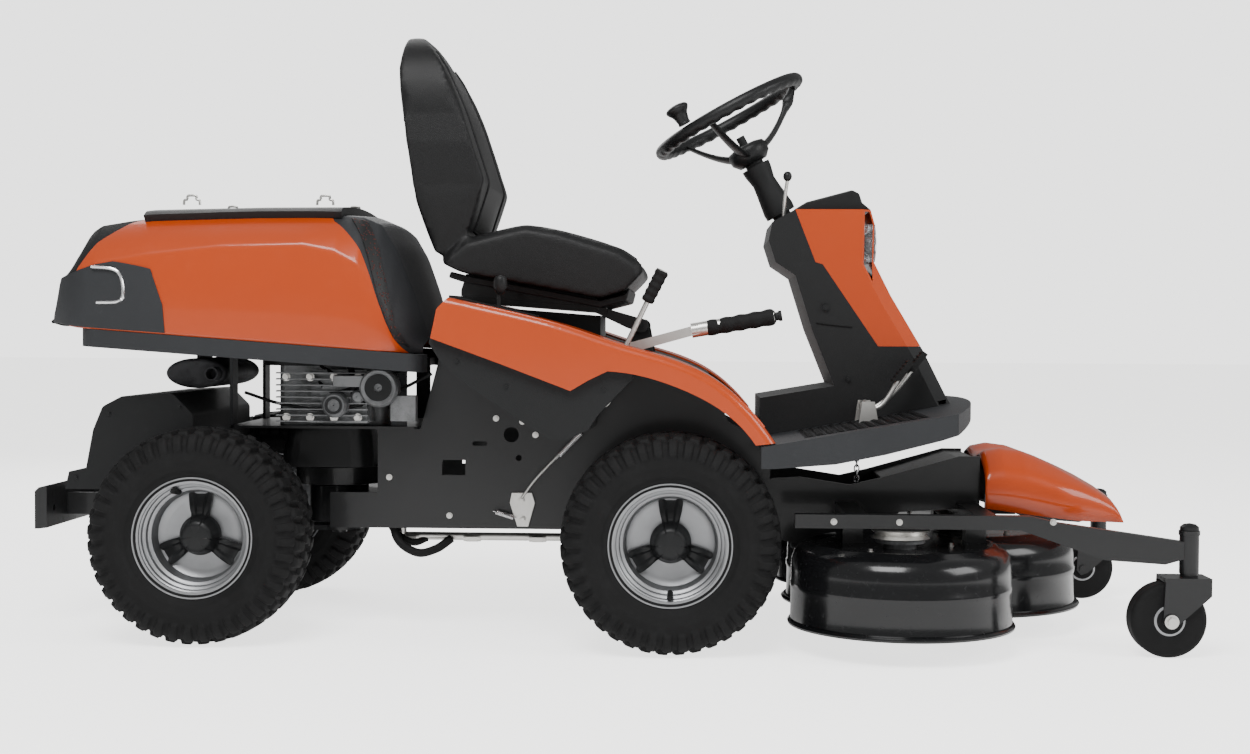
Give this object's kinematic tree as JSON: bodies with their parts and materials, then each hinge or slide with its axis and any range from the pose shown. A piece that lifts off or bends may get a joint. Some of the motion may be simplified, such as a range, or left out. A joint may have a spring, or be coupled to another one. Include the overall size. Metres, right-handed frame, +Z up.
{
  "type": "riding lawn mower",
  "caption": "Articulated ride-on mower with a front-mounted cutting deck on casters, a rear engine under a hinged hood, a tilting seat and a steering wheel with a knob",
  "frame": {"origin": "on the ground, under the middle of the whole machine", "axes": "+X forward, +Y to the driver's left, +Z up"},
  "size_m": [2.24, 1.03, 1.182],
  "materials": {
    "frame_paint": "semi-gloss black powder coat",
    "deck_paint": "gloss black enamel",
    "orange_plastic": "moulded orange panels, glossy",
    "black_plastic": "fine textured black moulding",
    "grey_plastic": "dark grey moulding",
    "tyre_rubber": "black turf tyre",
    "rim_paint": "silver enamel with a black hub cap",
    "seat_vinyl": "black grained vinyl over foam",
    "zinc_steel": "zinc plated steel",
    "cast_alloy": "cast aluminium, bare",
    "cast_iron": "grey cast iron",
    "lamp_glass": "clear lens over a chrome reflector",
    "rubber": "black rubber"
  },
  "bodies": {
    "front_chassis": {"frame_side_plates": "frame_paint", "frame_cross_members": "frame_paint", "front_axle_housing": "cast_alloy", "fenders": "orange_plastic", "side_panels": "black_plastic", "seat_platform": "black_plastic", "footplate": "grey_plastic", "console_tower": "black_plastic", "console_front": "orange_plastic", "headlamps": "lamp_glass", "dash_panel": "grey_plastic", "steering_column": "black_plastic", "engine_block": "cast_alloy", "engine_cowl": "black_plastic", "muffler": "cast_iron", "fuel_tank": "black_plastic", "hood_tray": "grey_plastic", "hydraulic_pipes": "zinc_steel", "control_mounts": "zinc_steel", "control_panels": "black_plastic"},
    "rear_carriage": {"carriage_frame": "frame_paint", "rear_axle_housing": "cast_alloy", "rear_cover": "black_plastic", "tow_bar": "frame_paint"},
    "hood": {"hood_shell": "orange_plastic", "hood_top_cover": "black_plastic", "hood_front_grille": "black_plastic", "hood_rear_panel": "black_plastic"},
    "seat_base": {"seat_tilt_frame": "frame_paint"},
    "seat": {"seat_cushion": "seat_vinyl", "seat_rails": "zinc_steel"},
    "steering_wheel": {"steering_wheel": "black_plastic"},
    "steering_knob": {"steering_knob": "black_plastic"},
    "lift_lever": {"lift_lever": "zinc_steel"},
    "lift_button": {"lift_button": "black_plastic"},
    "height_lever": {"height_lever": "zinc_steel"},
    "throttle_lever": {"throttle_lever": "black_plastic"},
    "forward_pedal": {"forward_pedal": "rubber"},
    "reverse_pedal": {"reverse_pedal": "rubber"},
    "brake_pedal": {"brake_pedal": "rubber"},
    "deck": {"deck_frame": "frame_paint", "deck_shell": "deck_paint", "deck_cover": "orange_plastic", "spindle_housings": "cast_alloy"},
    "blade_middle": {"blade_middle": "zinc_steel"},
    "blade_left": {"blade_left": "zinc_steel"},
    "blade_right": {"blade_right": "zinc_steel"},
    "caster_left": {"caster_fork_left": "zinc_steel"},
    "caster_wheel_left": {"caster_wheel_left": "tyre_rubber"},
    "caster_right": {"caster_fork_right": "zinc_steel"},
    "caster_wheel_right": {"caster_wheel_right": "tyre_rubber"},
    "wheel_front_left": {"tyre_front_left": "tyre_rubber", "rim_front_left": "rim_paint"},
    "wheel_front_right": {"tyre_front_right": "tyre_rubber", "rim_front_right": "rim_paint"},
    "wheel_rear_left": {"tyre_rear_left": "tyre_rubber", "rim_rear_left": "rim_paint"},
    "wheel_rear_right": {"tyre_rear_right": "tyre_rubber", "rim_rear_right": "rim_paint"}
  },
  "joints": [
    {"name": "articulation", "type": "hinge", "parent": "front_chassis", "child": "rear_carriage", "pos_m": [-0.553, 0, 0.2435], "axis": [0, 0, 1], "range_deg": [-38, 38]},
    {"name": "wheel_spin_front_left", "type": "hinge", "parent": "front_chassis", "child": "wheel_front_left", "pos_m": [0.137, 0.3575, 0.2035], "axis": [0, 1, 0], "continuous": true},
    {"name": "wheel_spin_front_right", "type": "hinge", "parent": "front_chassis", "child": "wheel_front_right", "pos_m": [0.137, -0.3575, 0.2035], "axis": [0, 1, 0], "continuous": true},
    {"name": "wheel_spin_rear_left", "type": "hinge", "parent": "rear_carriage", "child": "wheel_rear_left", "pos_m": [-0.75, 0.3125, 0.2035], "axis": [0, 1, 0], "continuous": true},
    {"name": "wheel_spin_rear_right", "type": "hinge", "parent": "rear_carriage", "child": "wheel_rear_right", "pos_m": [-0.75, -0.3125, 0.2035], "axis": [0, 1, 0], "continuous": true},
    {"name": "steering_wheel_turn", "type": "hinge", "parent": "front_chassis", "child": "steering_wheel", "pos_m": [0.248, 0, 1.028], "axis": [-0.4772, 0, 0.8788], "range_deg": [-456, 456]},
    {"name": "steering_knob_spin", "type": "hinge", "parent": "steering_wheel", "child": "steering_knob", "pos_m": [0.16655, -0.12299, 0.98378], "axis": [-0.4772, 0, 0.8788], "continuous": true},
    {"name": "hood_open", "type": "hinge", "parent": "front_chassis", "child": "hood", "pos_m": [-1.013, 0, 0.575], "axis": [0, -1, 0], "range_deg": [0, 70]},
    {"name": "seat_tilt", "type": "hinge", "parent": "front_chassis", "child": "seat_base", "pos_m": [0.073, 0, 0.603], "axis": [0, 1, 0], "range_deg": [0, 35]},
    {"name": "seat_slide", "type": "slide", "parent": "seat_base", "child": "seat", "axis": [0.9973, 0, -0.074], "range_m": [-0.02, 0.06]},
    {"name": "deck_lift", "type": "hinge", "parent": "front_chassis", "child": "deck", "pos_m": [0.287, 0, 0.2705], "axis": [0, -1, 0], "range_deg": [0, 6]},
    {"name": "lift_lever_pull", "type": "hinge", "parent": "front_chassis", "child": "lift_lever", "pos_m": [-0.053, -0.258, 0.537], "axis": [0, -1, 0], "range_deg": [0, 60]},
    {"name": "lift_button_press", "type": "slide", "parent": "lift_lever", "child": "lift_button", "axis": [-0.9854, 0, -0.1705], "range_m": [0, 0.008], "stiffness_N_per_m": 300, "springref_m": -0.004},
    {"name": "height_lever_set", "type": "hinge", "parent": "front_chassis", "child": "height_lever", "pos_m": [0, -0.302, 0.457], "axis": [0, 1, 0], "range_deg": [0, 35]},
    {"name": "throttle_lever_set", "type": "hinge", "parent": "front_chassis", "child": "throttle_lever", "pos_m": [-0.189, -0.33, 0.616], "axis": [0, 1, 0], "range_deg": [-20, 20]},
    {"name": "forward_pedal_press", "type": "hinge", "parent": "front_chassis", "child": "forward_pedal", "pos_m": [0.512, -0.168, 0.449], "axis": [0, 1, 0], "range_deg": [0, 12], "stiffness_Nm_per_rad": 8, "springref_deg": -14.32},
    {"name": "reverse_pedal_press", "type": "hinge", "parent": "front_chassis", "child": "reverse_pedal", "pos_m": [0.512, -0.206, 0.449], "axis": [0, 1, 0], "range_deg": [0, 12], "stiffness_Nm_per_rad": 8, "springref_deg": -14.32},
    {"name": "brake_pedal_press", "type": "hinge", "parent": "front_chassis", "child": "brake_pedal", "pos_m": [0.512, 0.168, 0.449], "axis": [0, 1, 0], "range_deg": [0, 12], "stiffness_Nm_per_rad": 8, "springref_deg": -14.32},
    {"name": "blade_middle_spin", "type": "hinge", "parent": "deck", "child": "blade_middle", "pos_m": [0.727, 0, 0.15], "axis": [0, 0, 1], "continuous": true},
    {"name": "blade_left_spin", "type": "hinge", "parent": "deck", "child": "blade_left", "pos_m": [0.562, 0.328, 0.15], "axis": [0, 0, 1], "continuous": true},
    {"name": "blade_right_spin", "type": "hinge", "parent": "deck", "child": "blade_right", "pos_m": [0.562, -0.328, 0.15], "axis": [0, 0, 1], "continuous": true},
    {"name": "caster_left_swivel", "type": "hinge", "parent": "deck", "child": "caster_left", "pos_m": [1.087, 0.345, 0.19], "axis": [0, 0, 1], "continuous": true},
    {"name": "caster_wheel_left_spin", "type": "hinge", "parent": "caster_left", "child": "caster_wheel_left", "pos_m": [1.047, 0.345, 0.069], "axis": [0, 1, 0], "continuous": true},
    {"name": "caster_right_swivel", "type": "hinge", "parent": "deck", "child": "caster_right", "pos_m": [1.087, -0.345, 0.19], "axis": [0, 0, 1], "continuous": true},
    {"name": "caster_wheel_right_spin", "type": "hinge", "parent": "caster_right", "child": "caster_wheel_right", "pos_m": [1.047, -0.345, 0.069], "axis": [0, 1, 0], "continuous": true}
  ],
  "couplings": [
    {"joint": "steering_wheel_turn", "follows": "articulation", "ratio": -12},
    {"joint": "lift_lever_pull", "follows": "deck_lift", "ratio": 10},
    {"joint": "blade_left_spin", "follows": "blade_middle_spin", "ratio": 1},
    {"joint": "blade_right_spin", "follows": "blade_middle_spin", "ratio": 1}
  ]
}
